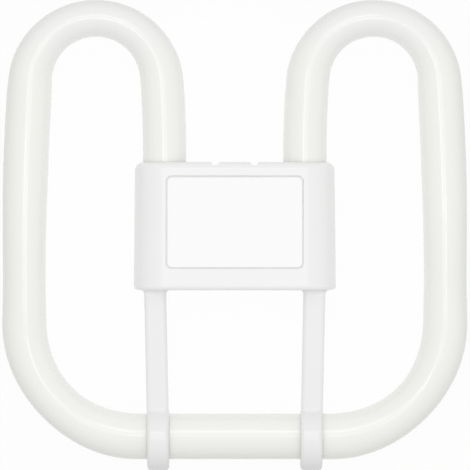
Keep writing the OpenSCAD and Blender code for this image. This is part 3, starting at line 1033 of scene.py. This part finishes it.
@dataclass
class Studio:
    """Camera, floor, world and lamps: lengths in metres, and the sensor's width in mm.

    A long lens looks straight down on the lamp, which lies on a glowing card on a grey floor,
    under a soft dome. The two keys make the highlight along the bottom run and the lobes, the
    side lamps those of the legs, and the corner lamps those of the lower corners.
    """

    distance: float = 1.2
    plane_z: float = 0.0182
    frame_width: float = 0.1396
    sensor_width: float = 36.0
    near: float = 0.05
    far: float = 20.0
    centre_x: float = 0.00006
    centre_y: float = -0.00005
    floor_size: float = 6.0
    card_half: float = 0.064
    card_fade: float = 2.0
    card_glow: float = 0.95
    seen_glow: float = 0.92
    grey: float = 0.46
    paper: float = 0.86
    white: float = 1.0
    horizon: float = 0.815
    overhead: float = 0.994
    falloff: float = 0.8
    upward: float = -0.01
    rightward: float = 0.035
    corners: float = 1.7
    lamps: tuple[Lamp, ...] = (
        Lamp("key_left", (-0.08, 0.31, 0.80), (0.16, 0.14), 2.5),
        Lamp("key_right", (0.043, 0.31, 0.80), (0.086, 0.14), 3.5),
        Lamp("left", (-0.085, 0.020, 0.80), (0.07, 0.05), 8.0),
        Lamp("right", (0.085, 0.000, 0.80), (0.07, 0.05), 8.0),
        Lamp("corner_left", (0.10, 0.10, 0.80), (0.10, 0.10), 2.1),
        Lamp("corner_right", (-0.10, 0.10, 0.80), (0.10, 0.10), 3.0),
    )

    def camera(self) -> None:
        """A camera that looks straight down on the lamp, with +Y up in the frame."""
        data = bpy.data.cameras.new("camera")
        data.sensor_width = self.sensor_width
        data.lens = self.sensor_width * self.distance / self.frame_width
        data.clip_start, data.clip_end = self.near, self.far
        camera = bpy.data.objects.new("camera", data)
        camera.location = (self.centre_x, self.centre_y, self.plane_z + self.distance)
        bpy.context.scene.collection.objects.link(camera)
        bpy.context.scene.camera = camera

    def seen(self, sheet: Sheet) -> Wire:
        """1 for what the camera, a reflection or a look through glass sees, otherwise 0.

        Args:
            sheet: The sheet that asks.

        Returns:
            The 1 or 0.
        """
        path = sheet.node(Node.LIGHT_PATH)
        camera, glossy, through = (
            Wire(sheet, path.outputs[name])
            for name in ("Is Camera Ray", "Is Glossy Ray", "Is Transmission Ray")
        )
        return camera.at_least(glossy).at_least(through)

    def floor(self) -> None:
        """A large floor that is seen white, with a soft shadow.

        It lights the lamp as a grey floor with a glowing square card under the lamp, whose
        edge fades out: card = 1 + fade (1 - sqrt(x^4 + y^4)), held to 0 to 1, in half-widths.
        """
        half = self.floor_size / 2
        mesh = bpy.data.meshes.new("floor")
        corners = [(-half, -half, 0), (half, -half, 0), (half, half, 0), (-half, half, 0)]
        mesh.from_pydata(corners, [], [(0, 1, 2, 3)])
        floor = bpy.data.objects.new("floor", mesh)
        bpy.context.scene.collection.objects.link(floor)
        material = bpy.data.materials.new("pale floor")
        material.use_nodes = True
        sheet = Sheet(material.node_tree)
        split = sheet.node(Node.SPLIT, {}, {0: sheet.place()})
        x, y = (Wire(sheet, split.outputs[i]) * (1 / self.card_half) for i in range(2))
        away = ((x * x) ** 2.0 + (y * y) ** 2.0) ** 0.5
        card = ((1.0 + self.card_fade) - self.card_fade * away).at_least(0.0).at_most(1.0)
        seen = self.seen(sheet)
        paper = sheet.node(Node.DIFFUSE, {}, {
            "Color": sheet.blend(seen, (self.grey,) * 3, (self.paper,) * 3),
        })
        glow = sheet.node(Node.EMISSION, {}, {"Color": WHITE, "Strength": self.white})
        share = (card * self.card_glow).at_least(seen * self.seen_glow)
        mixed = sheet.node(Node.MIX_SHADER, {}, {0: share, 1: paper.outputs[0], 2: glow.outputs[0]})
        sheet.node(Node.OUTPUT, {}, {"Surface": mixed.outputs[0]})
        mesh.materials.append(material)

    def world(self) -> None:
        """A soft dome, dimmer towards the horizon and a little brighter on the right.

        dome = horizon + (overhead - horizon) z^falloff + upward y + rightward x, less
        corners x^2 y^2 where y is negative, which dims it towards the two lower corners.
        """
        world = bpy.data.worlds.new("soft dome")
        bpy.context.scene.world = world
        world.use_nodes = True
        sheet = Sheet(world.node_tree)
        split = sheet.node(Node.SPLIT, {}, {0: sheet.wire(Node.COORDS, "Generated")})
        x, y, z = (Wire(sheet, split.outputs[i]) for i in range(3))
        height = z.at_least(0.0) ** self.falloff
        low = y.at_most(0.0)
        dome = self.horizon + (self.overhead - self.horizon) * height + self.upward * y + self.rightward * x
        dome = dome - self.corners * (x * x) * (low * low)
        strength = dome + self.seen(sheet) * (self.white - dome)
        back = sheet.node(Node.BACKGROUND, {}, {"Color": WHITE, "Strength": strength})
        sheet.node(Node.WORLD_OUTPUT, {}, {"Surface": back.outputs[0]})

    def make(self) -> None:
        """Sets up the whole studio."""
        bpy.context.scene.view_settings.view_transform = "Standard"
        self.camera()
        self.floor()
        self.world()
        for lamp in self.lamps:
            lamp.hang()


def main() -> None:
    """Builds the studio and the lamp's sub-assemblies in order and reports each piece."""
    logging.basicConfig(level=logging.INFO, format="%(message)s")
    Studio().make()
    for assembly in (DischargeTube(), CapShell(), LabelPanel(), StartingGear()):
        for piece in assembly.make():
            log.info("%s: %s, %d faces", type(assembly).__name__, piece.name, len(piece.data.polygons))


if __name__ == "__main__":
    main()
